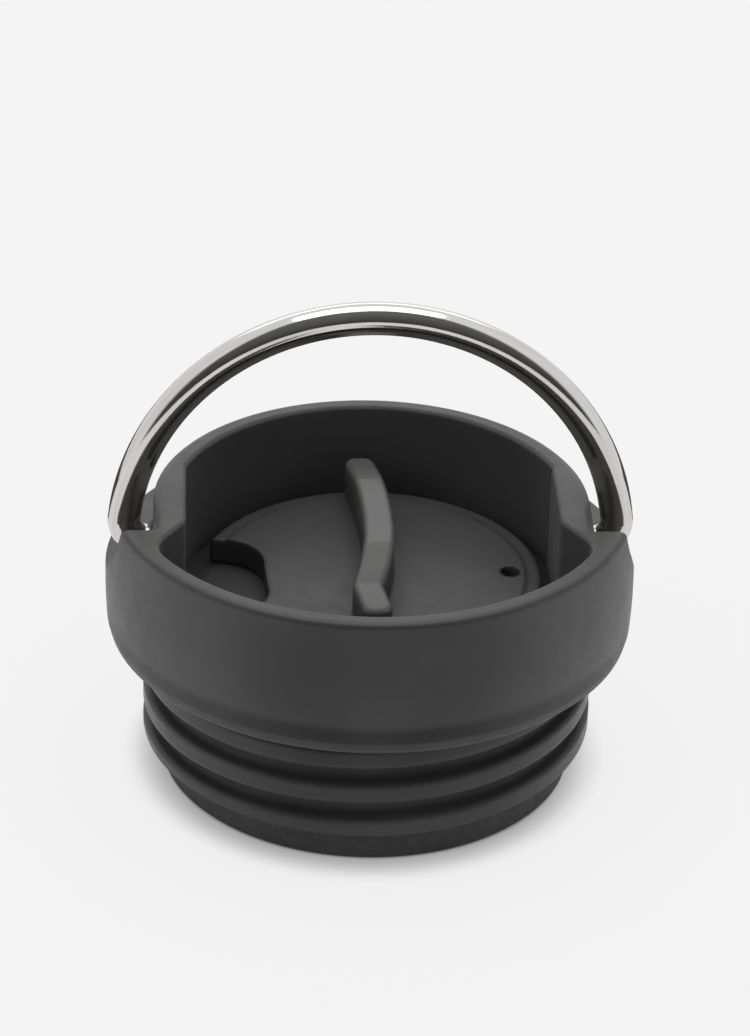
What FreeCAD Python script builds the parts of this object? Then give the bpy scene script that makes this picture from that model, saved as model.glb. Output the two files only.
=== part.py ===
import FreeCAD, Part
import math
import os
import Sketcher

# Drinking lid for a wide-mouth insulated bottle.
# Frame: Z is the screw axis, Z = 0 is the foot of the plug, the drinking side faces -Y.
# The bail stands upright in the XZ plane and folds back to +Y. All lengths are millimetres.

SIZES = {
    # Threaded plug, which everything else is sized from
    "thread_crest_radius": 27.7,
    "thread_depth": 1.8,
    "thread_pitch": 4.8,
    "thread_land": 2.5,
    "thread_lower_flank": 0.8,
    "thread_bevel": 0.25,
    "thread_lead_in": 3.8,
    "thread_top_gap": 0.7,
    "thread_bite": 0.4,
    "plug_wall": 2.7,
    "plug_shoulder": 4.8,
    "plug_fit": 0.05,
    "spigot_step": 2.3,
    "spigot_wall": 2.0,
    "spigot_foot": 0.9,
    "base_bottom": 2.0,
    "base_thick": 2.0,
    # Gasket round the foot of the plug
    "gasket_step": 0.6,
    "gasket_lip_step": 0.1,
    "gasket_bevel": 0.5,
    # Collar: barrel-shaped front, rim, bowl and floor
    "floor_top": 21.8,
    "floor_thick": 2.0,
    "collar_skirt": 1.4,
    "collar_spread": 0.55,
    "collar_barrel_curve": 70.0,
    "collar_foot_round": 2.0,
    "rim_over_pivot": 6.4,
    "rim_width": 2.45,
    "rim_outer_round": 0.9,
    "rim_rear_bevel": 0.5,
    "rim_inner_bevel": 0.35,
    "bowl_over_thread": 1.4,
    "bowl_flat_front": 6.6,
    "bowl_flat_round": 3.0,
    "bowl_flare_angle": 31.5,
    "bowl_corner_round": 4.0,
    # Stepped-in rear half that the bail folds down round
    "side_wall": 3.9,
    "rear_wall_bite": 0.4,
    "rear_arc_forward": 0.7,
    "scoop_radius": 10.6,
    "scoop_centre_y": 1.4,
    "shoulder_round": 1.4,
    # Bail and its pivots
    "pivot_over_floor": 7.9,
    "bail_rod_radius": 2.0,
    "bail_wall_gap": 1.7,
    "bail_elbow": 2.8,
    "bail_ledge_gap": 0.8,
    "pin_radius": 1.5,
    "pin_end_gap": 0.6,
    "pin_clearance": 0.05,
    "bush_web": 0.9,
    "bush_wall": 0.55,
    "bush_flange_reach": 0.5,
    "bush_flange_thick": 0.5,
    # Drink and vent openings
    "drink_inset": 5.3,
    "drink_half_width": 5.5,
    "drink_half_depth": 3.0,
    "drink_corner": 2.0,
    "duct_wall": 1.4,
    "vent_inset": 3.9,
    "vent_radius": 1.25,
    # Dial with its lever and hub
    "dial_inset": 4.7,
    "dial_thick": 3.4,
    "dial_gap": 0.2,
    "dial_side_gap": 1.3,
    "dial_rear_gap": 2.7,
    "dial_edge_bevel": 0.4,
    "dial_band_width": 1.9,
    "dial_band_drop": 0.25,
    "notch_depth": 8.5,
    "notch_flat_half": 2.6,
    "notch_throat_half": 9.2,
    "notch_throat_depth": 4.0,
    "notch_overrun": 1.8,
    "notch_mouth_half": 11.0,
    "notch_corner": 5.9,
    "notch_turn": 4.0,
    "lever_half_width": 1.85,
    "lever_back_inset": 0.8,
    "lever_back_bow": 90.0,
    "lever_crest_x": 1.1,
    "lever_crest_y": 1.6,
    "lever_front_bow": 40.0,
    "lever_bend": 10.2,
    "lever_front_inset": 4.6,
    "lever_front_x": 0.5,
    "lever_height": 5.8,
    "lever_back_height": 5.0,
    "lever_crown_back": 13.0,
    "lever_crown_front": 3.0,
    "lever_low_height": 4.2,
    "lever_front_drop": 0.1,
    "lever_end_round": 1.4,
    "lever_bevel": 0.45,
    "hub_reach": 7.2,
    "hub_fit": 0.08,
    "lug_thick": 2.2,
    "lug_half_width": 2.2,
    "lug_gap": 0.3,
    "lug_tip_gap": 0.7,
    "lug_hold": 1.7,
    "well_wall": 1.5,
    "well_duct_gap": 3.1,
    "keyway_turn": 50.0,
    "seal_margin": 1.1,
    "seal_thick": 1.8,
    "seal_rub_gap": 0.05,
    "vent_seal_radius": 2.9,
    "ring_half_height": 0.7,
    "ring_depth": 1.4,
    "ring_over_foot": 4.8,
    "ring_gap": 0.05,
}

# Sizes that follow from others: a first size, then each size added or taken off
FOLLOWING = {
    "plug_root_radius": ("thread_crest_radius", "-thread_depth"),
    "plug_bore_radius": ("plug_root_radius", "-plug_wall"),
    "spigot_radius": ("plug_root_radius", "-spigot_step"),
    "spigot_bore_radius": ("spigot_radius", "-spigot_wall"),
    "gasket_radius": ("plug_root_radius", "-gasket_step"),
    "gasket_inner_radius": ("spigot_bore_radius", "+gasket_lip_step"),
    "base_top": ("base_bottom", "+base_thick"),
    "floor_bottom": ("floor_top", "-floor_thick"),
    "collar_bottom": ("floor_bottom", "-collar_skirt"),
    "thread_start": ("plug_shoulder", "-thread_lead_in"),
    "thread_rise": ("floor_bottom", "-plug_shoulder", "-thread_top_gap"),
    "pivot_height": ("floor_top", "+pivot_over_floor"),
    "rim_height": ("pivot_height", "+rim_over_pivot"),
    "bowl_front_radius": ("thread_crest_radius", "+bowl_over_thread"),
    "collar_top_radius": ("bowl_front_radius", "+rim_width"),
    "collar_foot_radius": ("collar_top_radius", "+collar_spread"),
    "dial_radius": ("plug_root_radius", "-dial_inset"),
    "dial_bottom": ("floor_top", "+dial_gap"),
    "dial_top": ("dial_bottom", "+dial_thick"),
    "dial_band_radius": ("dial_radius", "-dial_band_width"),
    "bowl_flat_half": ("dial_radius", "+dial_side_gap"),
    "bowl_rear_radius": ("dial_radius", "+dial_rear_gap"),
    "rear_wall_half": ("bowl_flat_half", "+side_wall"),
    "bail_radius": ("rear_wall_half", "+bail_wall_gap", "+bail_rod_radius"),
    "elbow_reach": ("bail_radius", "-bail_elbow"),
    "ledge_height": ("pivot_height", "-bail_rod_radius", "-bail_ledge_gap"),
    "scoop_centre_z": ("ledge_height", "+scoop_radius"),
    "bush_end_half": ("bowl_flat_half", "+bush_web"),
    "pin_tip_half": ("bush_end_half", "+pin_end_gap"),
    "bush_bore_radius": ("pin_radius", "+pin_clearance"),
    "bush_radius": ("bush_bore_radius", "+bush_wall"),
    "bush_flange_radius": ("bush_radius", "+bush_flange_reach"),
    "drink_centre": ("dial_radius", "-drink_inset"),
    "vent_centre": ("dial_radius", "-vent_inset"),
    "notch_inner": ("dial_radius", "-notch_depth"),
    "notch_throat": ("dial_radius", "-notch_throat_depth"),
    "notch_mouth": ("dial_radius", "+notch_overrun"),
    "lever_back": ("dial_radius", "-lever_back_inset"),
    "lever_front": ("dial_radius", "-lever_front_inset"),
    "well_radius": ("drink_centre", "-drink_half_depth", "-duct_wall", "-well_duct_gap"),
    "chamber_radius": ("well_radius", "-well_wall"),
    "lug_half_length": ("chamber_radius", "-lug_tip_gap"),
    "hub_radius": ("chamber_radius", "-lug_hold"),
    "hub_bore_radius": ("hub_radius", "+hub_fit"),
    "hub_bottom": ("floor_top", "-hub_reach"),
    "chamber_bottom": ("hub_bottom", "-lug_gap"),
    "well_bottom": ("chamber_bottom", "-well_wall"),
    "lug_top": ("hub_bottom", "+lug_thick"),
    "chamber_top": ("lug_top", "+lug_gap"),
    "ring_height": ("hub_bottom", "+ring_over_foot"),
    "ring_groove_radius": ("hub_radius", "-ring_depth"),
    "seal_height": ("seal_thick", "+dial_gap", "-seal_rub_gap"),
    "seal_bottom": ("floor_top", "+seal_rub_gap"),
}


class Size:
    """A length that keeps both its value and the expression that gives it."""

    def __init__(self, value, text):
        self.value = float(value)
        self.text = text

    def __add__(self, other):
        other = as_size(other)
        return Size(self.value + other.value, "(%s + %s)" % (self.text, other.text))

    def __sub__(self, other):
        other = as_size(other)
        return Size(self.value - other.value, "(%s - %s)" % (self.text, other.text))

    def __mul__(self, other):
        other = as_size(other)
        return Size(self.value * other.value, "(%s * %s)" % (self.text, other.text))

    def __truediv__(self, other):
        other = as_size(other)
        return Size(self.value / other.value, "(%s / %s)" % (self.text, other.text))

    def __neg__(self):
        return Size(-self.value, "(-1 * %s)" % self.text)

    def beside(self, other):
        """The other leg of a right triangle whose long side is this size."""
        leg = math.sqrt(self.value ** 2 - other.value ** 2)
        return Size(leg, "sqrt(%s ^ 2 - %s ^ 2)" % (self.text, other.text))

    def sine(self):
        return Size(math.sin(math.radians(self.value)), "sin(%s)" % self.text)

    def cosine(self):
        return Size(math.cos(math.radians(self.value)), "cos(%s)" % self.text)

    def tangent(self):
        return Size(math.tan(math.radians(self.value)), "tan(%s)" % self.text)


def as_size(number):
    if isinstance(number, Size):
        return number
    return Size(number, repr(float(number)))


def dim(name):
    """A size by name, either one of the sheet's or one that follows from them."""
    if name in SIZES:
        return Size(SIZES[name], "Dims." + name)
    first, *rest = FOLLOWING[name]
    total = dim(first)
    for signed in rest:
        step = dim(signed[1:])
        total = total - step if signed[0] == "-" else total + step
    return total


ZERO = as_size(0)

doc = FreeCAD.newDocument("bottle_lid")
sheet = doc.addObject("Spreadsheet::Sheet", "Dims")
for row, (alias, number) in enumerate(SIZES.items(), start=1):
    sheet.set("A%d" % row, alias)
    sheet.set("B%d" % row, str(number))
    sheet.setAlias("B%d" % row, alias)
doc.recompute()


# Sketch helpers

def bind(thing, path, amount):
    thing.setExpression(path, as_size(amount).text)


def new_body(label):
    body = doc.addObject("PartDesign::Body", label)
    body.Label = label
    return body


def new_sketch(body, name, role, lift=None):
    sketch = body.newObject("Sketcher::SketchObject", body.Name + "_" + name)
    plane = [f for f in body.Origin.OriginFeatures if f.Role == role][0]
    sketch.AttachmentSupport = [(plane, "")]
    sketch.MapMode = "FlatFace"
    if lift is not None:
        bind(sketch, "AttachmentOffset.Base.z", lift)
    return sketch


def pin_point(sketch, geo, pos, corner):
    """Fix one end of a curve at a corner given by two sizes."""
    across, up = corner
    if across.value == 0:
        sketch.addConstraint(Sketcher.Constraint("PointOnObject", geo, pos, -2))
    else:
        index = sketch.addConstraint(
            Sketcher.Constraint("DistanceX", -1, 1, geo, pos, across.value))
        bind(sketch, "Constraints[%d]" % index, across)
    if up.value == 0:
        sketch.addConstraint(Sketcher.Constraint("PointOnObject", geo, pos, -1))
    else:
        index = sketch.addConstraint(
            Sketcher.Constraint("DistanceY", -1, 1, geo, pos, up.value))
        bind(sketch, "Constraints[%d]" % index, up)


def add_arc(sketch, start, end, radius, turn):
    """Arc from start to end, turn +1 anticlockwise or -1 clockwise, under half a circle."""
    if turn < 0:
        start, end = end, start
    ax, ay = start[0].value, start[1].value
    bx, by = end[0].value, end[1].value
    half = math.hypot(bx - ax, by - ay) / 2
    rise = math.sqrt(radius.value ** 2 - half ** 2)
    cx = (ax + bx) / 2 - (by - ay) / (2 * half) * rise
    cy = (ay + by) / 2 + (bx - ax) / (2 * half) * rise
    circle = Part.Circle(FreeCAD.Vector(cx, cy, 0), FreeCAD.Vector(0, 0, 1), radius.value)
    first = math.atan2(ay - cy, ax - cx)
    last = math.atan2(by - cy, bx - cx)
    if last < first:
        last += 2 * math.pi
    geo = sketch.addGeometry(Part.ArcOfCircle(circle, first, last), False)
    return geo


def draw_outline(sketch, corners, arcs=None, closed=True):
    """Outline through the corners; arcs maps a side's number to (radius, turn)."""
    arcs = arcs or {}
    count = len(corners) if closed else len(corners) - 1
    sides = []
    for side in range(count):
        start = corners[side]
        end = corners[(side + 1) % len(corners)]
        if side in arcs:
            radius, turn = arcs[side]
            geo = add_arc(sketch, start, end, radius, turn)
            ends = (1, 2) if turn > 0 else (2, 1)
        else:
            line = Part.LineSegment(
                FreeCAD.Vector(start[0].value, start[1].value, 0),
                FreeCAD.Vector(end[0].value, end[1].value, 0))
            geo = sketch.addGeometry(line, False)
            ends = (1, 2)
        sides.append((geo, ends))
    for side in range(count if closed else count - 1):
        geo, ends = sides[side]
        nxt, nxt_ends = sides[(side + 1) % count]
        sketch.addConstraint(
            Sketcher.Constraint("Coincident", geo, ends[1], nxt, nxt_ends[0]))
    for side in range(count):
        geo, ends = sides[side]
        pin_point(sketch, geo, ends[0], corners[side])
    if not closed:
        geo, ends = sides[-1]
        pin_point(sketch, geo, ends[1], corners[-1])
    for side, (radius, turn) in arcs.items():
        index = sketch.addConstraint(
            Sketcher.Constraint("Radius", sides[side][0], radius.value))
        bind(sketch, "Constraints[%d]" % index, radius)


def soft_corner(centre, radius, first, last, steps):
    """Points that round a corner in short straight steps, from angle first to last in degrees."""
    points = []
    for step in range(steps + 1):
        angle = math.radians(first + (last - first) * step / steps)
        across = centre[0] + radius * round(math.cos(angle), 6)
        up = centre[1] + radius * round(math.sin(angle), 6)
        points.append((across, up))
    return points


def draw_circle(sketch, centre, radius):
    circle = Part.Circle(
        FreeCAD.Vector(centre[0].value, centre[1].value, 0),
        FreeCAD.Vector(0, 0, 1), radius.value)
    geo = sketch.addGeometry(circle, False)
    pin_point(sketch, geo, 3, centre)
    index = sketch.addConstraint(Sketcher.Constraint("Radius", geo, radius.value))
    bind(sketch, "Constraints[%d]" % index, radius)


def draw_rounded_box(sketch, centre, half_width, half_depth, corner):
    cx, cy = centre
    left, right = cx - half_width, cx + half_width
    front, back = cy - half_depth, cy + half_depth
    corners = [
        (left + corner, front), (right - corner, front),
        (right, front + corner), (right, back - corner),
        (right - corner, back), (left + corner, back),
        (left, back - corner), (left, front + corner),
    ]
    draw_outline(sketch, corners, {side: (corner, 1) for side in (1, 3, 5, 7)})


def draw_box(sketch, half_width, half_depth):
    draw_outline(sketch, [
        (-half_width, -half_depth), (half_width, -half_depth),
        (half_width, half_depth), (-half_width, half_depth)])


# Feature helpers

def settle(feature):
    """Recompute and stop at once if the feature failed."""
    doc.recompute()
    if "Invalid" in feature.State or "Error" in feature.State:
        raise RuntimeError("%s failed: %s" % (feature.Name, feature.getStatusString()))
    return feature


def revolve(body, sketch, cut=False):
    kind = "PartDesign::Groove" if cut else "PartDesign::Revolution"
    turned = body.newObject(kind, sketch.Name + "_turned")
    turned.Profile = sketch
    turned.ReferenceAxis = (sketch, ["V_Axis"])
    turned.Angle = 360
    return settle(turned)


def pad(body, sketch, length, reverse=False):
    raised = body.newObject("PartDesign::Pad", sketch.Name + "_pad")
    raised.Profile = sketch
    bind(raised, "Length", length)
    raised.Reversed = reverse
    return settle(raised)


def pocket(body, sketch, length=None, reverse=False, both=False):
    """Cut against the sketch's normal, along it when reversed, or both ways."""
    before = body.Shape.Volume
    sunk = body.newObject("PartDesign::Pocket", sketch.Name + "_pocket")
    sunk.Profile = sketch
    if length is None:
        sunk.Type = "ThroughAll"
    else:
        bind(sunk, "Length", length)
    sunk.Midplane = both
    sunk.Reversed = reverse
    settle(sunk)
    if body.Shape.Volume > before - 1e-6:
        raise RuntimeError("pocket %s cuts nothing" % sunk.Name)
    return sunk


def dress_edges(body, base, kind, size, chosen):
    """Fillet or chamfer the edges of the base feature for which chosen(edge) is true."""
    names = []
    for number, edge in enumerate(base.Shape.Edges, start=1):
        if chosen(edge):
            names.append("Edge%d" % number)
    if not names:
        raise RuntimeError("no edge to round on %s" % base.Name)
    dressed = body.newObject("PartDesign::" + kind, base.Name + "_" + kind.lower())
    dressed.Base = (base, names)
    bind(dressed, "Radius" if kind == "Fillet" else "Size", size)
    return settle(dressed)


def sample(edge, share=0.5):
    first, last = edge.ParameterRange
    return edge.valueAt(first + (last - first) * share)


def level_at(edge, height):
    box = edge.BoundBox
    return abs(box.ZMin - height.value) < 0.01 and abs(box.ZMax - height.value) < 0.01


# Collar: rim, bowl, stepped rear half, floor with its well, drink and vent openings

def bowl_corners():
    """Right half: front arc, tight corner, flare, soft edge, flat, rear arc. Left mirrors it."""
    flat = dim("bowl_flat_half")
    angle = dim("bowl_flare_angle")
    along_x, along_y = angle.sine(), -angle.cosine()
    out_x, out_y = angle.cosine(), angle.sine()
    front = dim("bowl_front_radius")
    corner = dim("bowl_corner_round")
    bend_y = -dim("bowl_flat_front")
    reach = flat * out_x + bend_y * out_y - corner
    slide = (front - corner).beside(reach)
    centre_x = reach * out_x + slide * along_x
    centre_y = reach * out_y + slide * along_y
    grow = front / (front - corner)
    soft = dim("bowl_flat_round")
    trim = soft * (angle / 2).tangent()
    shift = dim("rear_arc_forward")
    rear = dim("bowl_rear_radius")
    right = [
        (centre_x * grow, centre_y * grow),
        (centre_x + corner * out_x, centre_y + corner * out_y),
        (flat + trim * along_x, bend_y + trim * along_y),
        (flat, bend_y + trim),
        (flat, rear.beside(flat) - shift),
    ]
    left = [(-across, up) for across, up in reversed(right)]
    arcs = {
        0: (corner, 1),
        2: (soft, -1),
        4: (rear, 1),
        6: (soft, -1),
        8: (corner, 1),
        9: (front, 1),
    }
    return right + left, arcs


def shoulder_front():
    """How far in front of the axis the scoop leaves the rim."""
    drop = dim("scoop_centre_z") - dim("rim_height")
    return dim("scoop_radius").beside(drop) - dim("scoop_centre_y")


def rear_wall_corners():
    half = dim("rear_wall_half")
    soft = dim("shoulder_round")
    shift = dim("rear_arc_forward")
    right = [
        (half + soft, -shoulder_front() - soft),
        (half + soft, -shoulder_front()),
        (half, soft - shoulder_front()),
        (half, -shift),
    ]
    back = [(ZERO, half - shift)]
    left = [(-across, up) for across, up in reversed(right)]
    arcs = {
        1: (soft, -1),
        3: (half, 1),
        4: (half, 1),
        6: (soft, -1),
    }
    return right + back + left, arcs


def make_collar():
    body = new_body("collar")
    top = dim("rim_height")
    foot = dim("collar_bottom")
    socket = dim("plug_root_radius") + dim("plug_fit")
    foot_radius = dim("collar_foot_radius")
    foot_round = dim("collar_foot_round")
    rim_round = dim("rim_outer_round")
    rim_radius = dim("collar_top_radius")
    inner = [
        (ZERO, dim("well_bottom")),
        (dim("well_radius"), dim("well_bottom")),
        (dim("well_radius"), dim("floor_bottom")),
        (socket, dim("floor_bottom")),
        (socket, foot),
    ]
    lower = soft_corner((foot_radius - foot_round, foot + foot_round), foot_round, -90, 0, 3)
    upper = soft_corner((rim_radius - rim_round, top - rim_round), rim_round, 0, 90, 3)
    barrel = {len(inner + lower) - 1: (dim("collar_barrel_curve"), 1)}
    blank = new_sketch(body, "blank", "XZ_Plane")
    draw_outline(blank, inner + lower + upper + [(ZERO, top)], barrel)
    revolve(body, blank)

    # Side profile of the rear step: a scoop that runs down onto the bail's ledge
    scoop = new_sketch(body, "scoop", "YZ_Plane")
    ledge = dim("ledge_height")
    centre_y = dim("scoop_centre_y")
    centre_z = dim("scoop_centre_z")
    curve = dim("scoop_radius")
    above = centre_z + curve
    behind = dim("collar_foot_radius") + curve
    draw_outline(scoop, [
        (centre_y - curve, above),
        (centre_y - curve, centre_z),
        (centre_y, ledge),
        (behind, ledge),
        (behind, above),
    ], {1: (curve, 1)})
    pocket(body, scoop, dim("collar_foot_radius") * 3, both=True)

    # Rear wall inside the step
    wall = new_sketch(body, "rear_wall", "XY_Plane", ledge - dim("rear_wall_bite"))
    corners, arcs = rear_wall_corners()
    draw_outline(wall, corners, arcs)
    pad(body, wall, top - ledge + dim("rear_wall_bite"))

    bowl = new_sketch(body, "bowl", "XY_Plane", dim("floor_top"))
    corners, arcs = bowl_corners()
    draw_outline(bowl, corners, arcs)
    bowl_cut = pocket(body, bowl, top - dim("floor_top"), reverse=True)

    inside = dim("bowl_front_radius").value + 0.1
    flat = dim("bowl_flat_half").value + 0.1
    rear = dim("bowl_rear_radius").value + 0.1

    def inner_rim(edge):
        middle = sample(edge)
        reach = math.hypot(middle.x, middle.y)
        if middle.y > -dim("bowl_flat_front").value:
            return level_at(edge, top) and (reach < rear or abs(middle.x) < flat)
        return level_at(edge, top) and reach < inside and abs(middle.x) < inside - 3

    def rear_rim(edge):
        behind = sample(edge).y > 0.01 - shoulder_front().value
        return level_at(edge, top) and not inner_rim(edge) and behind

    outer = dress_edges(body, bowl_cut, "Chamfer", dim("rim_rear_bevel"), rear_rim)
    dress_edges(body, outer, "Chamfer", dim("rim_inner_bevel"), inner_rim)

    # Hub well: neck bore, bayonet chamber and the two keyways that let the lugs in
    bore = new_sketch(body, "well_bore", "XY_Plane", dim("chamber_bottom"))
    draw_circle(bore, (ZERO, ZERO), dim("hub_bore_radius"))
    pocket(body, bore, dim("rim_height"), reverse=True)
    chamber = new_sketch(body, "well_chamber", "XZ_Plane")
    draw_outline(chamber, [
        (ZERO, dim("chamber_bottom")),
        (dim("chamber_radius"), dim("chamber_bottom")),
        (dim("chamber_radius"), dim("chamber_top")),
        (ZERO, dim("chamber_top")),
    ])
    revolve(body, chamber, cut=True)
    keyway = new_sketch(body, "keyway", "XY_Plane", dim("chamber_top"))
    keyway.AttachmentOffset = FreeCAD.Placement(
        FreeCAD.Vector(0, 0, 0), FreeCAD.Rotation(FreeCAD.Vector(0, 0, 1), 0))
    bind(keyway, "AttachmentOffset.Base.z", dim("chamber_top"))
    bind(keyway, "AttachmentOffset.Rotation.Angle", -dim("keyway_turn"))
    draw_box(keyway, dim("lug_half_length") + dim("lug_gap"),
             dim("lug_half_width") + dim("lug_gap"))
    pocket(body, keyway, dim("rim_height"), reverse=True)

    # Drink and vent openings through the floor
    drink = new_sketch(body, "drink", "XY_Plane", dim("floor_bottom"))
    draw_rounded_box(drink, (ZERO, -dim("drink_centre")), dim("drink_half_width"),
                     dim("drink_half_depth"), dim("drink_corner"))
    pocket(body, drink, top, reverse=True)
    vent = new_sketch(body, "vent", "XY_Plane", dim("floor_bottom"))
    draw_circle(vent, (ZERO, dim("vent_centre")), dim("vent_radius"))
    pocket(body, vent, top, reverse=True)

    # Blind seats for the pivot bushes in the thick side walls
    for name, sign in (("right", 1), ("left", -1)):
        seat = new_sketch(body, name + "_seat", "YZ_Plane", dim("rear_wall_half") * sign)
        draw_circle(seat, (ZERO, dim("pivot_height")), dim("bush_radius"))
        depth = dim("rear_wall_half") - dim("bush_end_half")
        pocket(body, seat, depth, reverse=sign < 0)
    return body


# Threaded plug: tube with its base, the ducts, the thread and the gasket's spigot

def make_threaded_plug():
    body = new_body("threaded_plug")
    bore = dim("plug_bore_radius")
    base_top = dim("base_top")
    tube = new_sketch(body, "tube", "XZ_Plane")
    draw_outline(tube, [
        (ZERO, dim("base_bottom")),
        (dim("spigot_bore_radius"), dim("base_bottom")),
        (dim("spigot_bore_radius"), dim("spigot_foot")),
        (dim("plug_root_radius"), dim("spigot_foot")),
        (dim("plug_root_radius"), dim("floor_bottom")),
        (bore, dim("floor_bottom")),
        (bore, base_top + dim("duct_wall")),
        (dim("spigot_bore_radius"), base_top),
        (ZERO, base_top),
    ])
    revolve(body, tube)

    # Buttress-like section: nearly flat upper flank, sloping lower flank
    inner = dim("plug_root_radius") - dim("thread_bite")
    crest = dim("thread_crest_radius")
    start = dim("thread_start")
    land = dim("thread_land")
    bevel = dim("thread_bevel")
    section = new_sketch(body, "thread_section", "XZ_Plane")
    draw_outline(section, [
        (inner, start - dim("thread_lower_flank")),
        (crest, start + bevel),
        (crest, start + land - bevel),
        (crest - bevel, start + land),
        (inner, start + land + bevel),
    ])
    thread = body.newObject("PartDesign::AdditiveHelix", "thread")
    thread.Profile = section
    thread.ReferenceAxis = (section, ["V_Axis"])
    thread.Mode = "pitch-height-angle"
    bind(thread, "Pitch", dim("thread_pitch"))
    bind(thread, "Height", dim("thread_rise"))
    thread.Angle = 0
    thread.LeftHanded = False
    settle(thread)

    # Spigot for the gasket, which also trims the thread's start
    spigot = new_sketch(body, "spigot", "XZ_Plane")
    outside = crest + dim("thread_bite")
    draw_outline(spigot, [
        (dim("spigot_radius"), -dim("thread_pitch")),
        (outside, -dim("thread_pitch")),
        (outside, dim("plug_shoulder")),
        (dim("spigot_radius"), dim("plug_shoulder")),
    ])
    revolve(body, spigot, cut=True)

    # Ducts from the base up to the underside of the collar's floor
    wall = dim("duct_wall")
    height = dim("floor_bottom") - base_top
    drink = new_sketch(body, "drink_duct", "XY_Plane", base_top)
    draw_rounded_box(drink, (ZERO, -dim("drink_centre")), dim("drink_half_width") + wall,
                     dim("drink_half_depth") + wall, dim("drink_corner") + wall)
    pad(body, drink, height)
    vent = new_sketch(body, "vent_duct", "XY_Plane", base_top)
    draw_circle(vent, (ZERO, dim("vent_centre")), dim("vent_radius") + wall)
    pad(body, vent, height)
    drink_bore = new_sketch(body, "drink_bore", "XY_Plane")
    draw_rounded_box(drink_bore, (ZERO, -dim("drink_centre")), dim("drink_half_width"),
                     dim("drink_half_depth"), dim("drink_corner"))
    pocket(body, drink_bore, dim("rim_height"), reverse=True)
    vent_bore = new_sketch(body, "vent_bore", "XY_Plane")
    draw_circle(vent_bore, (ZERO, dim("vent_centre")), dim("vent_radius"))
    pocket(body, vent_bore, dim("rim_height"), reverse=True)
    return body


# Gasket: an L-section ring that wraps the foot of the spigot

def make_plug_gasket():
    body = new_body("plug_gasket")
    section = new_sketch(body, "section", "XZ_Plane")
    outer = dim("gasket_radius")
    bevel = dim("gasket_bevel")
    draw_outline(section, [
        (dim("gasket_inner_radius"), ZERO),
        (outer - bevel, ZERO),
        (outer, bevel),
        (outer, dim("plug_shoulder")),
        (dim("spigot_radius"), dim("plug_shoulder")),
        (dim("spigot_radius"), dim("spigot_foot")),
        (dim("gasket_inner_radius"), dim("spigot_foot")),
    ])
    revolve(body, section)
    return body


# Dial: disc, band, notch, vent hole, hub with its lugs, seal pockets and the wave lever

def lever_corners():
    """Wave in plan: two bows that meet at the crest, then a soft bend to the front."""
    half = dim("lever_half_width")
    crest_x, crest_y = dim("lever_crest_x"), dim("lever_crest_y")
    back_bow, front_bow = dim("lever_back_bow"), dim("lever_front_bow")
    back, bend = dim("lever_back"), dim("lever_bend")
    back_x = crest_x - back_bow + back_bow.beside(back - crest_y)
    bend_x = crest_x - front_bow + front_bow.beside(bend + crest_y)
    line = [
        (back_x, back),
        (crest_x, crest_y),
        (bend_x, -bend),
        (dim("lever_front_x"), -dim("lever_front")),
    ]
    left = [(across - half, up) for across, up in line]
    right = [(across + half, up) for across, up in reversed(line)]
    arcs = {
        0: (back_bow, -1),
        1: (front_bow, -1),
        5: (front_bow, 1),
        6: (back_bow, 1),
    }
    return left + right, arcs


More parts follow.
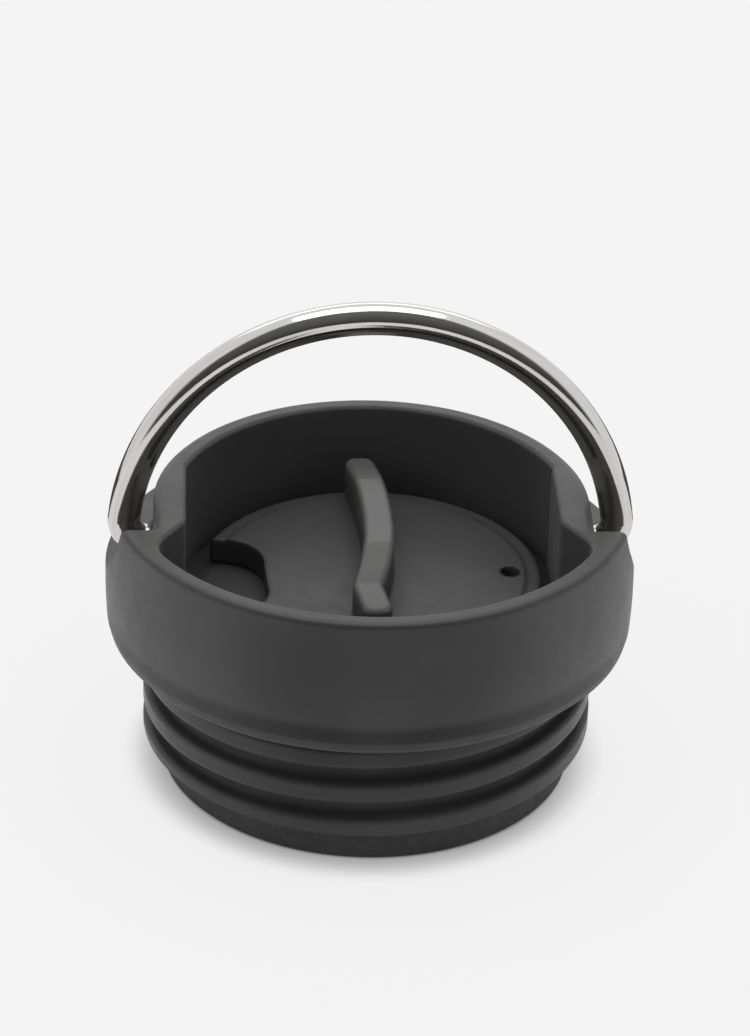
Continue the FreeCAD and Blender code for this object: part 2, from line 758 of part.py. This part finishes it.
def make_dial():
    body = new_body("dial")
    top = dim("dial_top")
    bottom = dim("dial_bottom")
    edge = dim("dial_edge_bevel")
    radius = dim("dial_radius")
    groove = dim("ring_half_height") + dim("ring_gap")
    groove_root = dim("ring_groove_radius")
    disc = new_sketch(body, "disc", "XZ_Plane")
    draw_outline(disc, [
        (ZERO, dim("hub_bottom")),
        (dim("hub_radius"), dim("hub_bottom")),
        (dim("hub_radius"), dim("ring_height") - groove),
        (groove_root, dim("ring_height") - groove),
        (groove_root, dim("ring_height") + groove),
        (dim("hub_radius"), dim("ring_height") + groove),
        (dim("hub_radius"), bottom),
        (radius, bottom),
        (radius, top - dim("dial_band_drop") - edge),
        (radius - edge, top - dim("dial_band_drop")),
        (dim("dial_band_radius"), top - dim("dial_band_drop")),
        (dim("dial_band_radius") - dim("dial_band_drop"), top),
        (ZERO, top),
    ])
    revolve(body, disc)

    lever = new_sketch(body, "lever", "XY_Plane", top - edge)
    corners, arcs = lever_corners()
    draw_outline(lever, corners, arcs)
    pad(body, lever, dim("lever_height") + edge)

    # Side profile of the lever's top: falls to the back, crowned, then steps down to the front
    crown = new_sketch(body, "lever_crown", "YZ_Plane")
    above = top + dim("lever_height") * 2
    bend = dim("lever_bend")
    low = top + dim("lever_low_height")
    high = top + dim("lever_height")
    beyond_front = dim("lever_front") * 2 - bend
    beyond_back = dim("lever_back") * 2 - dim("lever_crown_back")
    draw_outline(crown, [
        (-beyond_front, above),
        (-beyond_front, low - dim("lever_front_drop") * 2),
        (-bend, low),
        (-dim("lever_crown_front"), high),
        (dim("lever_crown_back"), high),
        (beyond_back, top + dim("lever_back_height") * 2 - dim("lever_height")),
        (beyond_back, above),
    ])
    crowned = pocket(body, crown, dim("lever_half_width") * 8, both=True)

    def lever_upright(candidate):
        box = candidate.BoundBox
        upright = box.XLength < 0.01 and box.YLength < 0.01 and box.ZMax > top.value + 1
        return upright and abs(box.YMin - dim("lever_crest_y").value) > 1

    ends = dress_edges(body, crowned, "Fillet", dim("lever_end_round"), lever_upright)

    def lever_top(candidate):
        box = candidate.BoundBox
        middle = sample(candidate)
        along = box.YLength > 0.4 or abs(middle.y) > bend.value * 1.5
        flat = box.XLength > 3.4 and box.YLength < 0.01
        return box.ZMin > top.value + 1 and along and not flat

    dress_edges(body, ends, "Chamfer", dim("lever_bevel"), lever_top)

    # Notch that lets the drink through when the dial is turned to the front
    notch = new_sketch(body, "notch", "XY_Plane", bottom)
    notch.AttachmentOffset = FreeCAD.Placement(
        FreeCAD.Vector(0, 0, 0), FreeCAD.Rotation(FreeCAD.Vector(0, 0, 1), 0))
    bind(notch, "AttachmentOffset.Base.z", bottom)
    bind(notch, "AttachmentOffset.Rotation.Angle", dim("notch_turn"))
    draw_outline(notch, [
        (-dim("notch_mouth"), dim("notch_mouth_half")),
        (-dim("notch_mouth"), -dim("notch_mouth_half")),
        (-dim("notch_throat"), -dim("notch_throat_half")),
        (-dim("notch_inner"), -dim("notch_flat_half")),
        (-dim("notch_inner"), dim("notch_flat_half")),
        (-dim("notch_throat"), dim("notch_throat_half")),
    ], {2: (dim("notch_corner"), 1), 4: (dim("notch_corner"), 1)})
    pocket(body, notch, top - bottom, reverse=True)

    vent = new_sketch(body, "vent", "XY_Plane", bottom)
    draw_circle(vent, (dim("vent_centre"), ZERO), dim("vent_radius"))
    pocket(body, vent, top - bottom, reverse=True)

    # Pockets for the two seals in the underside
    drink_seat = new_sketch(body, "drink_seat", "XY_Plane", bottom)
    draw_seal_outline(drink_seat)
    pocket(body, drink_seat, dim("seal_thick"), reverse=True)
    vent_seat = new_sketch(body, "vent_seat", "XY_Plane", bottom)
    draw_circle(vent_seat, (ZERO, dim("vent_centre")), dim("vent_seal_radius"))
    pocket(body, vent_seat, dim("seal_thick"), reverse=True)

    lugs = new_sketch(body, "lugs", "XY_Plane", dim("hub_bottom"))
    draw_box(lugs, dim("lug_half_length"), dim("lug_half_width"))
    pad(body, lugs, dim("lug_top") - dim("hub_bottom"))
    return body


# Seals carried by the dial

def draw_seal_outline(sketch):
    margin = dim("seal_margin")
    draw_rounded_box(sketch, (ZERO, -dim("drink_centre")), dim("drink_half_width") + margin,
                     dim("drink_half_depth") + margin, dim("drink_corner") + margin)


def make_drink_seal():
    body = new_body("drink_seal")
    outline = new_sketch(body, "outline", "XY_Plane", dim("seal_bottom"))
    draw_seal_outline(outline)
    pad(body, outline, dim("seal_height"))
    return body


def make_vent_seal():
    body = new_body("vent_seal")
    outline = new_sketch(body, "outline", "XY_Plane", dim("seal_bottom"))
    draw_circle(outline, (ZERO, dim("vent_centre")), dim("vent_seal_radius"))
    pad(body, outline, dim("seal_height"))
    return body


def make_hub_ring():
    body = new_body("hub_ring")
    section = new_sketch(body, "section", "XZ_Plane")
    half = dim("ring_half_height")
    outer = dim("hub_bore_radius") - dim("ring_gap")
    inner = dim("ring_groove_radius") + dim("ring_gap")
    draw_outline(section, [
        (inner, dim("ring_height") - half),
        (outer, dim("ring_height") - half),
        (outer, dim("ring_height") + half),
        (inner, dim("ring_height") + half),
    ])
    revolve(body, section)
    return body


# Bail: an arch of round rod whose elbows turn in to the thinner pivot pins

def bail_line():
    """Centre line in the XZ plane, from the right elbow's end over the arch to the left one's."""
    pivot = dim("pivot_height")
    elbow = dim("bail_elbow")
    reach = dim("elbow_reach")
    across = reach.beside(elbow)
    grow = dim("bail_radius") / reach
    right = [(across, pivot), (across * grow, pivot + elbow * grow)]
    left = [(-x, z) for x, z in reversed(right)]
    return right + left, {0: (elbow, 1), 1: (dim("bail_radius"), 1), 2: (elbow, 1)}


def make_bail():
    body = new_body("bail")
    pivot = dim("pivot_height")
    path = new_sketch(body, "path", "XZ_Plane")
    corners, arcs = bail_line()
    draw_outline(path, corners, arcs, closed=False)
    end = corners[0][0]
    section = new_sketch(body, "section", "YZ_Plane", end)
    draw_circle(section, (ZERO, pivot), dim("bail_rod_radius"))
    rod = body.newObject("PartDesign::AdditivePipe", "bail_rod")
    rod.Profile = section
    rod.Spine = (path, [])
    settle(rod)
    for side, sign in (("right", 1), ("left", -1)):
        pin = new_sketch(body, side + "_pin", "YZ_Plane", dim("pin_tip_half") * sign)
        draw_circle(pin, (ZERO, pivot), dim("pin_radius"))
        pad(body, pin, end - dim("pin_tip_half"), reverse=sign < 0)
    return body


# Pivot bush: a flanged sleeve pressed into the collar's side wall

def make_pivot_bush(side, turn):
    body = new_body(side + "_pivot_bush")
    section = new_sketch(body, "section", "XY_Plane")
    bore = dim("bush_bore_radius")
    face = dim("rear_wall_half")
    rim = face + dim("bush_flange_thick")
    draw_outline(section, [
        (dim("bush_end_half"), bore),
        (rim, bore),
        (rim, dim("bush_flange_radius")),
        (face, dim("bush_flange_radius")),
        (face, dim("bush_radius")),
        (dim("bush_end_half"), dim("bush_radius")),
    ])
    sleeve = body.newObject("PartDesign::Revolution", side + "_sleeve")
    sleeve.Profile = section
    sleeve.ReferenceAxis = (section, ["H_Axis"])
    sleeve.Angle = 360
    body.Placement = FreeCAD.Placement(
        FreeCAD.Vector(0, 0, 0), FreeCAD.Rotation(FreeCAD.Vector(0, 0, 1), turn))
    bind(body, "Placement.Base.z", dim("pivot_height"))
    return body


parts = [
    make_collar(),
    make_threaded_plug(),
    make_plug_gasket(),
    make_dial(),
    make_drink_seal(),
    make_vent_seal(),
    make_hub_ring(),
    make_bail(),
    make_pivot_bush("right", 0),
    make_pivot_bush("left", 180),
]
doc.recompute()

for thing in doc.Objects:
    for state in thing.State:
        if state in ("Invalid", "Error"):
            raise RuntimeError("%s is %s" % (thing.Name, state))
for part in parts:
    if part.Shape.isNull() or not part.Shape.isValid():
        raise RuntimeError("%s has no valid shape" % part.Label)

os.makedirs("parts", exist_ok=True)
for part in parts:
    part.Shape.exportStep(os.path.join("parts", part.Label + ".step"))
    print(part.Label, len(part.Shape.Solids), "solid", round(part.Shape.Volume, 1), "mm3")
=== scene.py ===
import math

import bpy
from mathutils import Matrix, Vector

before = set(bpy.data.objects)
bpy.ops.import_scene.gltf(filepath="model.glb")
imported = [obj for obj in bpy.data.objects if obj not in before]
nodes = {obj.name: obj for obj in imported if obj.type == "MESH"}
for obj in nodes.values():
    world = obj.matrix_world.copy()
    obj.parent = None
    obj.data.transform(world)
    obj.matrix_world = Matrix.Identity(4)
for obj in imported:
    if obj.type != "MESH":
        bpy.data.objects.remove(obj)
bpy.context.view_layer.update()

# Sizes shared with the part's source, in metres
PIVOT_Z = 0.0297
BAIL_RADIUS = 0.0301
FLOOR_Z = 0.0218
DIAL_RADIUS = 0.0212


# Camera: its place and lens were solved from the outlines in the photograph

PHOTO_HEIGHT = 1036
SENSOR_MM = 36.0
FOCAL_PX = 4006.7
AZIMUTH = math.radians(3.0635)
ELEVATION = math.radians(28.8158)
ROLL = math.radians(1.671)
DISTANCE = 0.48688
TARGET = Vector((0.00048, 0.0, 0.03284))
CLIP_NEAR = 0.01
CLIP_FAR = 20.0


def make_camera():
    """Looks from the drinking side, slightly from the left, and down at the lid."""
    ahead = Vector((
        math.sin(AZIMUTH) * math.cos(ELEVATION),
        math.cos(AZIMUTH) * math.cos(ELEVATION),
        -math.sin(ELEVATION)))
    level = Vector((math.cos(AZIMUTH), -math.sin(AZIMUTH), 0.0))
    upward = level.cross(ahead)
    right = level * math.cos(ROLL) + upward * math.sin(ROLL)
    up = upward * math.cos(ROLL) - level * math.sin(ROLL)
    data = bpy.data.cameras.new("camera")
    data.sensor_fit = "AUTO"
    data.sensor_width = SENSOR_MM
    data.lens = SENSOR_MM * FOCAL_PX / PHOTO_HEIGHT
    data.clip_start = CLIP_NEAR
    data.clip_end = CLIP_FAR
    camera = bpy.data.objects.new("camera", data)
    bpy.context.scene.collection.objects.link(camera)
    turned = Matrix((right, up, -ahead)).transposed().to_4x4()
    camera.matrix_world = Matrix.Translation(TARGET - ahead * DISTANCE) @ turned
    bpy.context.scene.camera = camera


# Node trees: most of a noise's values lie between NOISE_LOW and NOISE_HIGH

NOISE_LOW = 0.3
NOISE_HIGH = 0.7
EDGE_SAMPLES = 4


class Graph:
    """A short way to write a material's node tree."""

    def __init__(self, name):
        self.material = bpy.data.materials.new(name)
        self.material.use_nodes = True
        self.tree = self.material.node_tree
        self.shader = self.tree.nodes["Principled BSDF"]
        self.place = self.add("ShaderNodeTexCoord").outputs["Object"]

    def add(self, kind, **settings):
        node = self.tree.nodes.new(kind)
        for name, value in settings.items():
            setattr(node, name, value)
        return node

    def link(self, source, socket):
        """Feed a socket from another node, or set it to a number."""
        if isinstance(source, (int, float)):
            socket.default_value = source
        else:
            self.tree.links.new(source, socket)

    def math(self, operation, first, second=0.0):
        node = self.add("ShaderNodeMath", operation=operation)
        self.link(first, node.inputs[0])
        self.link(second, node.inputs[1])
        return node.outputs[0]

    def noise(self, scale, detail=2.0, roughness=0.5, vector=None):
        """Noise with this many features to the metre, on the piece itself."""
        node = self.add("ShaderNodeTexNoise")
        self.link(vector or self.place, node.inputs["Vector"])
        node.inputs["Scale"].default_value = scale
        node.inputs["Detail"].default_value = detail
        node.inputs["Roughness"].default_value = roughness
        return node.outputs["Fac"]

    def spread(self, source, low, high, from_low=NOISE_LOW, from_high=NOISE_HIGH):
        """Carry the range from_low to from_high over to low to high."""
        node = self.add("ShaderNodeMapRange")
        self.link(source, node.inputs["Value"])
        node.inputs["From Min"].default_value = from_low
        node.inputs["From Max"].default_value = from_high
        node.inputs["To Min"].default_value = low
        node.inputs["To Max"].default_value = high
        return node.outputs["Result"]

    def mix_colour(self, share, first, second):
        """Blend of two colours, each written out or given by another node."""
        node = self.add("ShaderNodeMix", data_type="RGBA")
        self.link(share, node.inputs["Factor"])
        for socket, tone in ((node.inputs["A"], first), (node.inputs["B"], second)):
            if isinstance(tone, tuple):
                socket.default_value = (*tone, 1.0)
            else:
                self.link(tone, socket)
        return node.outputs["Result"]

    def bump(self, height, distance, strength=1.0, under=None):
        """Relief of this depth, on top of another relief if one is given."""
        node = self.add("ShaderNodeBump")
        self.link(height, node.inputs["Height"])
        node.inputs["Distance"].default_value = distance
        node.inputs["Strength"].default_value = strength
        if under is not None:
            self.link(under, node.inputs["Normal"])
        return node.outputs["Normal"]

    def split(self):
        """The three coordinates of a point on the piece."""
        parts = self.add("ShaderNodeSeparateXYZ")
        self.link(self.place, parts.inputs[0])
        return parts.outputs

    def length(self, first, second):
        squares = self.math("ADD", self.math("MULTIPLY", first, first),
                            self.math("MULTIPLY", second, second))
        return self.math("SQRT", squares)

    def soft_edge(self, radius):
        """Edges catch the light as if they were rounded by this much."""
        node = self.add("ShaderNodeBevel", samples=EDGE_SAMPLES)
        node.inputs["Radius"].default_value = radius
        return node.outputs["Normal"]

    def finish(self, colour, roughness, normal=None):
        self.link(colour, self.shader.inputs["Base Color"])
        self.link(roughness, self.shader.inputs["Roughness"])
        if normal is not None:
            self.link(normal, self.shader.inputs["Normal"])
        return self.material


# Materials: noise scales to the metre, and depths, edges and heights in metres

DRIFT_SCALE = 70.0
RIPPLE_SCALE = 95.0
RIPPLE_DEPTH = 0.00012
RIPPLE_STRENGTH = 0.35
PATCH_SCALE = 420.0
GRAIN_SCALE = 5200.0
GRAIN_STRENGTH = 0.5

COLLAR_EDGE = 0.0005
COLLAR_SHEEN = 0.08
PLUG_EDGE = 0.0009
PLUG_SHINE = 0.3
DIAL_EDGE = 0.0008

# Painted highlight on the lever's top, which is also made smoother
HIGHLIGHT_BOTTOM = 0.0276
HIGHLIGHT_TOP = 0.0300
HIGHLIGHT_EDGE_SCALE = 180.0
HIGHLIGHT_EDGE_REACH = 0.0005
PAINTED_HIGHLIGHT_TONE = (0.085, 0.085, 0.083)
LEVER_TOP_ROUGHNESS = 0.40

# Painted shade, in the gap round the dial and in a thin line under the front lip
PAINTED_SHADE_TONE = (0.012, 0.012, 0.012)
GAP_BOTTOM = FLOOR_Z + 0.0001
GAP_TOP = FLOOR_Z + 0.0012
GAP_START = DIAL_RADIUS - 0.0012
LIP_Z = 0.03578
LIP_HALF = 0.00042
LIP_SHARE = 0.85
LIP_START = 0.0306
LIP_FULL = 0.0309

RUBBER_ROUGHNESS = (0.55, 0.72)
RUBBER_DRIFT_SCALE = 160.0
RUBBER_PATCH_SCALE = 900.0
RUBBER_GRAIN_SCALE = 3800.0
RUBBER_GRAIN_DEPTH = 0.00002
RUBBER_GRAIN_STRENGTH = 0.4

STEEL_DARK = (0.60, 0.585, 0.555)
STEEL_LIGHT = (0.70, 0.69, 0.665)
STEEL_ROUGHNESS = (0.06, 0.12)
STRAND_STRETCH = 0.06
STRAND_SCALE = 6500.0
STRAND_DEPTH = 0.000006
STRAND_STRENGTH = 0.25
BAND_SCALE = 1500.0
SMEAR_SCALE = 240.0


def moulded_plastic(name, dark, light, rough, grain, edge=COLLAR_EDGE, painted_light=None):
    """Black polypropylene: a fine spark-eroded grain, soft sink ripples, slight colour drift."""
    graph = Graph(name)
    drift = graph.noise(DRIFT_SCALE, detail=3.0)
    colour = graph.mix_colour(graph.spread(drift, 0.0, 1.0), dark, light)
    patches = graph.noise(PATCH_SCALE, detail=4.0, roughness=0.6)
    roughness = graph.spread(patches, *rough)
    # Painted shade or a painted highlight, if one is given, goes into the colour
    if painted_light is not None:
        colour, roughness = painted_light(graph, colour, roughness)
    waves = graph.noise(RIPPLE_SCALE, detail=1.0)
    rippled = graph.bump(waves, RIPPLE_DEPTH, RIPPLE_STRENGTH, graph.soft_edge(edge))
    fine = graph.noise(GRAIN_SCALE, roughness=0.65)
    grained = graph.bump(fine, grain, GRAIN_STRENGTH, rippled)
    return graph.finish(colour, roughness, grained)


def lever_top_painted_highlight(graph, colour, roughness):
    """The lever's top is painted lighter, a painted highlight, and made smoother than the disc.
    """
    edge_wobble = graph.spread(graph.noise(HIGHLIGHT_EDGE_SCALE, detail=3.0), -HIGHLIGHT_EDGE_REACH, HIGHLIGHT_EDGE_REACH)
    height = graph.math("ADD", graph.split()[2], edge_wobble)
    share = graph.spread(height, 0.0, 1.0, HIGHLIGHT_BOTTOM, HIGHLIGHT_TOP)
    kept = graph.math("MULTIPLY", roughness, graph.math("SUBTRACT", 1.0, share))
    roughness = graph.math("ADD", kept, graph.math("MULTIPLY", share, LEVER_TOP_ROUGHNESS))
    return graph.mix_colour(share, colour, PAINTED_HIGHLIGHT_TONE), roughness


def painted_gap_and_lip_shade(graph, colour, roughness):
    """Painted shade: darker in the narrow gap round the dial, and in a thin painted shade line
    under the front lip.
    """
    across, deep, high = graph.split()
    reach = graph.length(across, deep)
    low = graph.spread(high, 1.0, 0.0, GAP_BOTTOM, GAP_TOP)
    beyond_dial = graph.spread(reach, 0.0, 1.0, GAP_START, DIAL_RADIUS)
    gap = graph.math("MULTIPLY", low, beyond_dial)
    off_line = graph.math("ABSOLUTE", graph.math("SUBTRACT", high, LIP_Z))
    line = graph.spread(off_line, LIP_SHARE, 0.0, 0.0, LIP_HALF)
    lip = graph.math("MULTIPLY", line, graph.spread(reach, 0.0, 1.0, LIP_START, LIP_FULL))
    return graph.mix_colour(graph.math("MAXIMUM", gap, lip), colour, PAINTED_SHADE_TONE), roughness


def seal_rubber(name, dark, light):
    """Dull silicone with a fine skin."""
    graph = Graph(name)
    drift = graph.noise(RUBBER_DRIFT_SCALE, detail=4.0)
    colour = graph.mix_colour(graph.spread(drift, 0.0, 1.0), dark, light)
    patches = graph.noise(RUBBER_PATCH_SCALE, detail=3.0)
    roughness = graph.spread(patches, *RUBBER_ROUGHNESS)
    skin = graph.noise(RUBBER_GRAIN_SCALE)
    fine = graph.bump(skin, RUBBER_GRAIN_DEPTH, RUBBER_GRAIN_STRENGTH)
    return graph.finish(colour, roughness, fine)


def drawn_steel(name):
    """Polished stainless rod with faint drawing lines along it."""
    graph = Graph(name)
    graph.shader.inputs["Metallic"].default_value = 1.0
    across, deep, high = graph.split()
    height = graph.math("SUBTRACT", high, PIVOT_Z)
    angle = graph.math("ARCTAN2", height, across)
    radius = graph.length(across, height)
    strand = graph.add("ShaderNodeCombineXYZ")
    graph.link(graph.math("MULTIPLY", angle, BAIL_RADIUS * STRAND_STRETCH), strand.inputs[0])
    graph.link(deep, strand.inputs[1])
    graph.link(radius, strand.inputs[2])
    bands = graph.noise(BAND_SCALE, vector=strand.outputs[0])
    colour = graph.mix_colour(graph.spread(bands, 0.0, 1.0), STEEL_DARK, STEEL_LIGHT)
    roughness = graph.spread(graph.noise(SMEAR_SCALE, detail=3.0), *STEEL_ROUGHNESS)
    lines = graph.noise(STRAND_SCALE, roughness=0.6, vector=strand.outputs[0])
    drawn = graph.bump(lines, STRAND_DEPTH, STRAND_STRENGTH)
    return graph.finish(colour, roughness, drawn)


def set_shader(material, socket, value):
    """Set a value that is the same all over the surface."""
    material.node_tree.nodes["Principled BSDF"].inputs[socket].default_value = value


def dress(name, material):
    """Give a CAD node its material."""
    slots = nodes[name].data.materials
    slots.clear()
    slots.append(material)


def make_materials():
    # The collar's colour gets painted shade in the dial's gap and under the front lip
    collar = moulded_plastic(
        "collar_black", dark=(0.034, 0.034, 0.034), light=(0.045, 0.045, 0.044),
        rough=(0.42, 0.52), grain=0.000018, painted_light=painted_gap_and_lip_shade)
    set_shader(collar, "Sheen Weight", COLLAR_SHEEN)
    plug = moulded_plastic(
        "plug_black", dark=(0.031, 0.031, 0.031), light=(0.040, 0.040, 0.040),
        rough=(0.32, 0.42), grain=0.000012, edge=PLUG_EDGE)
    set_shader(plug, "Specular IOR Level", PLUG_SHINE)
    # The dial's lever top gets a painted highlight
    dial = moulded_plastic(
        "dial_black", dark=(0.034, 0.034, 0.034), light=(0.046, 0.046, 0.045),
        rough=(0.46, 0.56), grain=0.000016, edge=DIAL_EDGE, painted_light=lever_top_painted_highlight)
    bush = moulded_plastic(
        "bush_grey", dark=(0.10, 0.10, 0.10), light=(0.14, 0.14, 0.14),
        rough=(0.35, 0.5), grain=0.00001)
    rubber = seal_rubber("gasket_black", dark=(0.018, 0.018, 0.019), light=(0.028, 0.028, 0.029))
    dress("collar", collar)
    dress("threaded_plug", plug)
    dress("dial", dial)
    dress("bail", drawn_steel("bail_steel"))
    for name in ("plug_gasket", "drink_seal", "vent_seal", "hub_ring"):
        dress(name, rubber)
    for name in ("left_pivot_bush", "right_pivot_bush"):
        dress(name, bush)


# Studio: pale floor and backdrop, an even dome, soft boxes, and in reflections a dark room

PALE = 0.905
DOME = 0.5

FLOOR_HALF = 3.0
FLOOR_SHADE = 0.10
FLOOR_SHINE = 0.1
# Painted contact shadow: the floor's even colour darkens within this reach of the lid
CONTACT_SHADOW_REACH = 0.0052
CONTACT_SHADOW_SAMPLES = 8
PAPER_ROUGHNESS = (0.85, 0.95)
PAPER_FLECK = 0.995
PAPER_FLECK_SCALE = 30.0
PAPER_PATCH_SCALE = 50.0
PAPER_GRAIN_SCALE = 900.0
PAPER_GRAIN_DEPTH = 0.00002
PAPER_GRAIN_STRENGTH = 0.2

FLAG_HEIGHT = 0.0005
FLAG_SCALE = 40.0
FLAG_DARK = (0.03, 0.03, 0.03)
FLAG_LIGHT = (0.04, 0.04, 0.04)
FLAG_ROUGHNESS = 0.9
FLAGS = (  # name, left, right, near, far
    ("left_flag", -0.095, -0.005, -0.150, -0.050),
    ("right_flag", 0.005, 0.095, -0.150, -0.050),
    ("rear_flag", -0.200, 0.200, 0.055, 0.200),
)

ROOM_LOW = 0.045
ROOM_HIGH = 0.17
ROOM_START = 0.3
ROOM_FULL = 0.6
LEAST_LEVEL = 0.001

SOFT_BOXES = (  # name, place, aim, width, depth, watts, visibility that is switched off
    ("overhead", (0.0, 0.10, 1.06), (0, 0, 0.06), 0.9, 0.66, 4.6, None),
    ("behind", (0.0, 1.3, 0.75), (0, 0, 0.03), 1.6, 0.5, 2.0, "visible_camera"),
    ("left_fill", (-0.9, -0.6, 0.7), (0, 0, 0.02), 0.8, 0.8, 3.0, "visible_glossy"),
    ("right_fill", (0.9, -0.5, 0.6), (0, 0, 0.02), 0.8, 0.8, 1.5, "visible_glossy"),
)


def add_sheet(name, left, right, near, far, height):
    """A flat rectangle that belongs to the studio."""
    corners = ((left, near), (right, near), (right, far), (left, far))
    mesh = bpy.data.meshes.new(name)
    mesh.from_pydata([(x, y, height) for x, y in corners], [], [(0, 1, 2, 3)])
    sheet = bpy.data.objects.new(name, mesh)
    bpy.context.scene.collection.objects.link(sheet)
    return sheet


def make_floor():
    """Pale paper: lit as it is, but seen and mirrored mostly at its own even colour, darkened
    near the lid by ambient occlusion as a painted contact shadow.
    """
    floor = add_sheet("floor", -FLOOR_HALF, FLOOR_HALF, -FLOOR_HALF, FLOOR_HALF, 0.0)
    graph = Graph("floor_paper")
    flecks = graph.spread(graph.noise(PAPER_FLECK_SCALE), 0.0, 1.0)
    tone = graph.mix_colour(flecks, (PALE,) * 3, (PALE * PAPER_FLECK,) * 3)
    roughness = graph.spread(graph.noise(PAPER_PATCH_SCALE), *PAPER_ROUGHNESS)
    grain = graph.noise(PAPER_GRAIN_SCALE)
    fine = graph.bump(grain, PAPER_GRAIN_DEPTH, PAPER_GRAIN_STRENGTH)
    material = graph.finish(tone, roughness, fine)
    set_shader(material, "Specular IOR Level", FLOOR_SHINE)
    # Painted contact shadow from ambient occlusion, in the floor's even colour
    contact_shadow = graph.add("ShaderNodeAmbientOcclusion", samples=CONTACT_SHADOW_SAMPLES)
    contact_shadow.inputs["Distance"].default_value = CONTACT_SHADOW_REACH
    contact_shadow.inputs["Color"].default_value = (PALE, PALE, PALE, 1.0)
    even = graph.add("ShaderNodeEmission")
    graph.link(contact_shadow.outputs["Color"], even.inputs["Color"])
    path = graph.add("ShaderNodeLightPath").outputs
    mirrored = graph.math("MAXIMUM", path["Is Glossy Ray"], path["Is Transmission Ray"])
    seen = graph.math("MAXIMUM", path["Is Camera Ray"], mirrored)
    mix = graph.add("ShaderNodeMixShader")
    graph.link(graph.math("MULTIPLY", seen, 1.0 - FLOOR_SHADE), mix.inputs["Fac"])
    graph.link(graph.shader.outputs[0], mix.inputs[1])
    graph.link(even.outputs[0], mix.inputs[2])
    graph.link(mix.outputs[0], graph.tree.nodes["Material Output"].inputs["Surface"])
    floor.data.materials.append(material)


def make_flags():
    """Black cards on the floor in front of and behind the lid, seen only in reflections."""
    graph = Graph("flag_card")
    tone = graph.mix_colour(graph.noise(FLAG_SCALE), FLAG_DARK, FLAG_LIGHT)
    card = graph.finish(tone, FLAG_ROUGHNESS)
    for name, left, right, near, far in FLAGS:
        flag = add_sheet(name, left, right, near, far, FLAG_HEIGHT)
        flag.data.materials.append(card)
        flag.visible_camera = False
        flag.visible_diffuse = False
        flag.visible_shadow = False
        flag.visible_transmission = False


def make_dome():
    """Even light on the object, a pale backdrop, and in reflections a dark room in front."""
    world = bpy.data.worlds.new("studio")
    bpy.context.scene.world = world
    world.use_nodes = True
    tree = world.node_tree
    tree.nodes.clear()

    def feed(source, socket):
        if isinstance(source, (int, float)):
            socket.default_value = source
        else:
            tree.links.new(source, socket)

    def background(strength):
        node = tree.nodes.new("ShaderNodeBackground")
        node.inputs["Color"].default_value = (1.0, 1.0, 1.0, 1.0)
        feed(strength, node.inputs["Strength"])
        return node.outputs[0]

    def calc(operation, *values):
        node = tree.nodes.new("ShaderNodeMath")
        node.operation = operation
        for socket, value in zip(node.inputs, values):
            feed(value, socket)
        return node.outputs[0]

    def blend(share, first, second):
        node = tree.nodes.new("ShaderNodeMixShader")
        for socket, source in zip(node.inputs, (share, first, second)):
            feed(source, socket)
        return node.outputs[0]

    # How far a direction points to the front: 1 is straight to it, -1 to the back
    place = tree.nodes.new("ShaderNodeTexCoord")
    parts = tree.nodes.new("ShaderNodeSeparateXYZ")
    feed(place.outputs["Generated"], parts.inputs[0])
    across, deep, high = parts.outputs
    squares = calc("ADD", calc("MULTIPLY", across, across), calc("MULTIPLY", deep, deep))
    level = calc("MAXIMUM", calc("SQRT", squares), LEAST_LEVEL)
    ahead = calc("DIVIDE", calc("MULTIPLY", deep, -1.0), level)
    step = tree.nodes.new("ShaderNodeMapRange")
    step.interpolation_type = "SMOOTHSTEP"
    feed(ahead, step.inputs["Value"])
    step.inputs["From Min"].default_value = ROOM_START
    step.inputs["From Max"].default_value = ROOM_FULL

    rise = calc("MULTIPLY", calc("MAXIMUM", high, 0.0), ROOM_HIGH - ROOM_LOW)
    room = background(calc("ADD", rise, ROOM_LOW))
    path = tree.nodes.new("ShaderNodeLightPath").outputs
    mirrored = blend(step.outputs["Result"], background(PALE), room)
    lit = blend(path["Is Glossy Ray"], background(DOME), mirrored)
    seen = blend(path["Is Camera Ray"], lit, background(PALE))
    out = tree.nodes.new("ShaderNodeOutputWorld")
    feed(seen, out.inputs["Surface"])


def make_lights():
    """Soft boxes over and behind the lid, and two fills in front that no reflection shows."""
    for name, place, aim, width, depth, watts, switched_off in SOFT_BOXES:
        data = bpy.data.lights.new(name, "AREA")
        data.shape = "RECTANGLE"
        data.size = width
        data.size_y = depth
        data.energy = watts
        box = bpy.data.objects.new(name, data)
        bpy.context.scene.collection.objects.link(box)
        box.location = place
        box.rotation_euler = (Vector(aim) - Vector(place)).to_track_quat("-Z", "Y").to_euler()
        if switched_off is not None:
            setattr(box, switched_off, False)


make_camera()
make_materials()
make_floor()
make_flags()
make_dome()
make_lights()

scene = bpy.context.scene
scene.view_settings.view_transform = "Standard"
